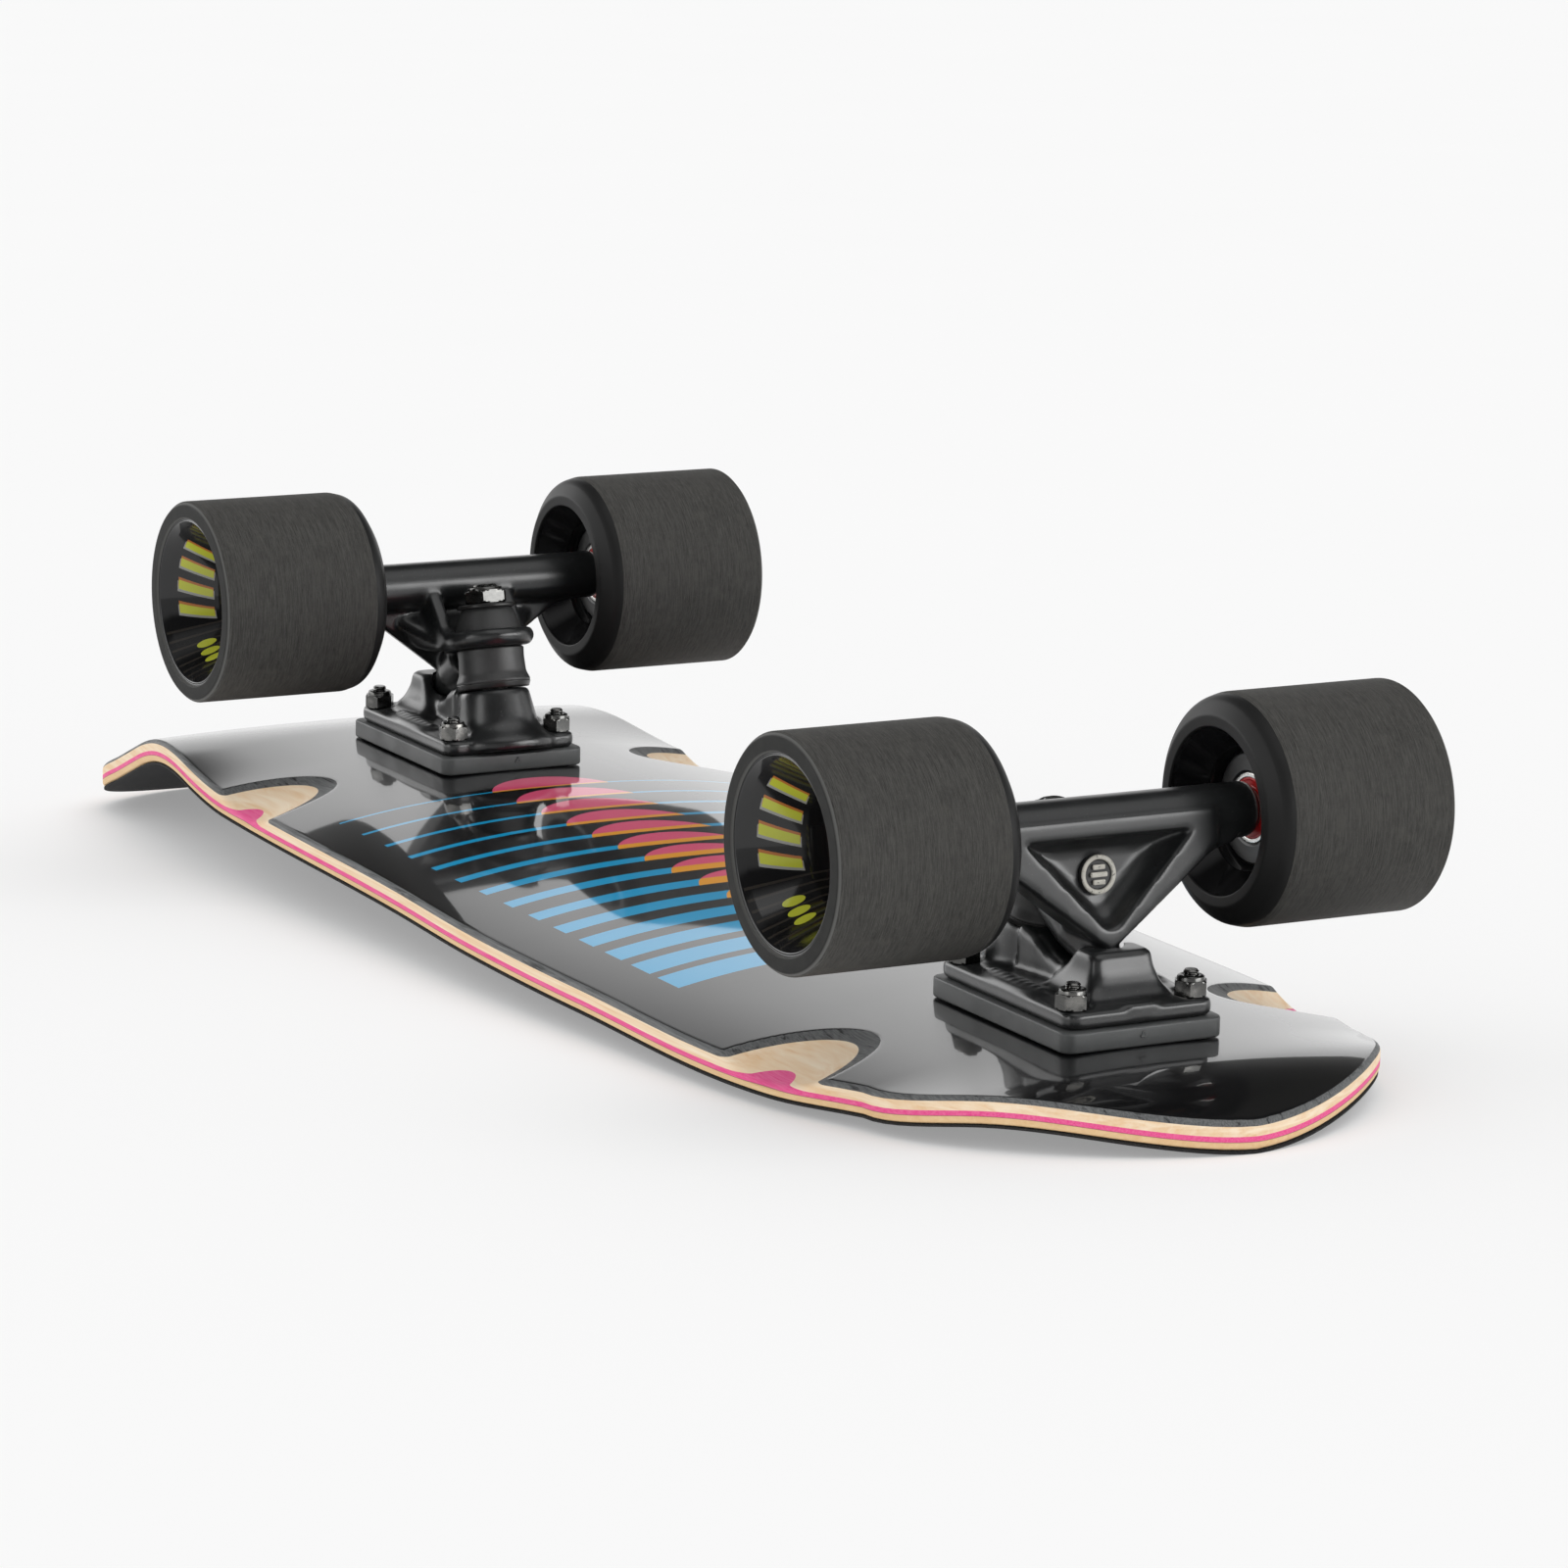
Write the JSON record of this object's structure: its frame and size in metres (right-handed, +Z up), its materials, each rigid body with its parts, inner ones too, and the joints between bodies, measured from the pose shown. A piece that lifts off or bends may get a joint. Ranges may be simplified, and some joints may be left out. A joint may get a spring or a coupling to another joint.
{
  "type": "skateboard",
  "caption": "Compact cruiser skateboard: pressed wooden deck with nose and tail kicks and carved wheel wells, leaning kingpin trucks on riser pads, wide soft wheels.",
  "frame": {"origin": "on the ground under the middle of the deck's length and width, with the board standing on its wheels", "axes": "+X towards the nose, +Y towards the board's left side, +Z up"},
  "size_m": [0.723, 0.214, 0.1471],
  "materials": {
    "deck_wood": "pressed maple plies, sanded and lacquered, with a gloss black printed underside",
    "grip_tape": "coarse black abrasive sheet",
    "truck_paint": "satin black paint on cast aluminium",
    "riser": "matt moulded black",
    "bushing": "satin cast black urethane",
    "dark_washer": "satin black pressed steel",
    "dark_fastener": "black oxide steel, worn bright on the corners",
    "axle_steel": "plain turned steel",
    "bearing": "polished rings with red seals",
    "urethane": "matt ground tread, satin shoulders, gloss recess",
    "wheel_core": "moulded black"
  },
  "bodies": {
    "board": {"deck": "deck_wood", "grip_tape": "grip_tape", "front_riser_pad": "riser", "front_baseplate": "truck_paint", "front_pivot_cup": "bushing", "front_kingpin": "dark_fastener", "front_kingpin_nut": "dark_fastener", "front_boardside_bushing": "bushing", "front_roadside_bushing": "bushing", "front_boardside_washer": "dark_washer", "front_roadside_washer": "dark_washer", "front_bolt_1": "dark_fastener", "front_bolt_2": "dark_fastener", "front_bolt_3": "dark_fastener", "front_bolt_4": "dark_fastener", "front_locknut_1": "dark_fastener", "front_locknut_2": "dark_fastener", "front_locknut_3": "dark_fastener", "front_locknut_4": "dark_fastener", "rear_riser_pad": "riser", "rear_baseplate": "truck_paint", "rear_pivot_cup": "bushing", "rear_kingpin": "dark_fastener", "rear_kingpin_nut": "dark_fastener", "rear_boardside_bushing": "bushing", "rear_roadside_bushing": "bushing", "rear_boardside_washer": "dark_washer", "rear_roadside_washer": "dark_washer", "rear_bolt_1": "dark_fastener", "rear_bolt_2": "dark_fastener", "rear_bolt_3": "dark_fastener", "rear_bolt_4": "dark_fastener", "rear_locknut_1": "dark_fastener", "rear_locknut_2": "dark_fastener", "rear_locknut_3": "dark_fastener", "rear_locknut_4": "dark_fastener"},
    "front_truck": {"front_hanger": "truck_paint", "front_axle": "axle_steel", "front_left_axle_nut": "axle_steel", "front_right_axle_nut": "axle_steel"},
    "rear_truck": {"rear_hanger": "truck_paint", "rear_axle": "axle_steel", "rear_left_axle_nut": "axle_steel", "rear_right_axle_nut": "axle_steel"},
    "front_left_wheel": {"front_left_tyre": "urethane", "front_left_core": "wheel_core", "front_left_inner_bearing": "bearing", "front_left_outer_bearing": "bearing"},
    "front_right_wheel": {"front_right_tyre": "urethane", "front_right_core": "wheel_core", "front_right_inner_bearing": "bearing", "front_right_outer_bearing": "bearing"},
    "rear_left_wheel": {"rear_left_tyre": "urethane", "rear_left_core": "wheel_core", "rear_left_inner_bearing": "bearing", "rear_left_outer_bearing": "bearing"},
    "rear_right_wheel": {"rear_right_tyre": "urethane", "rear_right_core": "wheel_core", "rear_right_inner_bearing": "bearing", "rear_right_outer_bearing": "bearing"}
  },
  "joints": [
    {"name": "front_lean", "type": "hinge", "parent": "board", "child": "front_truck", "pos_m": [0.2412, 0, 0.0528], "axis": [0.8192, 0, 0.5736], "range_deg": [-15, 15], "stiffness_Nm_per_rad": 25, "deforming": ["front_boardside_bushing", "front_roadside_bushing"]},
    {"name": "rear_lean", "type": "hinge", "parent": "board", "child": "rear_truck", "pos_m": [-0.1502, 0, 0.0528], "axis": [-0.8192, 0, 0.5736], "range_deg": [-15, 15], "stiffness_Nm_per_rad": 25, "deforming": ["rear_boardside_bushing", "rear_roadside_bushing"]},
    {"name": "front_left_spin", "type": "hinge", "parent": "front_truck", "child": "front_left_wheel", "pos_m": [0.2665, 0.0677, 0.036], "axis": [0, 1, 0], "continuous": true},
    {"name": "front_right_spin", "type": "hinge", "parent": "front_truck", "child": "front_right_wheel", "pos_m": [0.2665, -0.0677, 0.036], "axis": [0, 1, 0], "continuous": true},
    {"name": "rear_left_spin", "type": "hinge", "parent": "rear_truck", "child": "rear_left_wheel", "pos_m": [-0.1755, 0.0677, 0.036], "axis": [0, 1, 0], "continuous": true},
    {"name": "rear_right_spin", "type": "hinge", "parent": "rear_truck", "child": "rear_right_wheel", "pos_m": [-0.1755, -0.0677, 0.036], "axis": [0, 1, 0], "continuous": true}
  ]
}
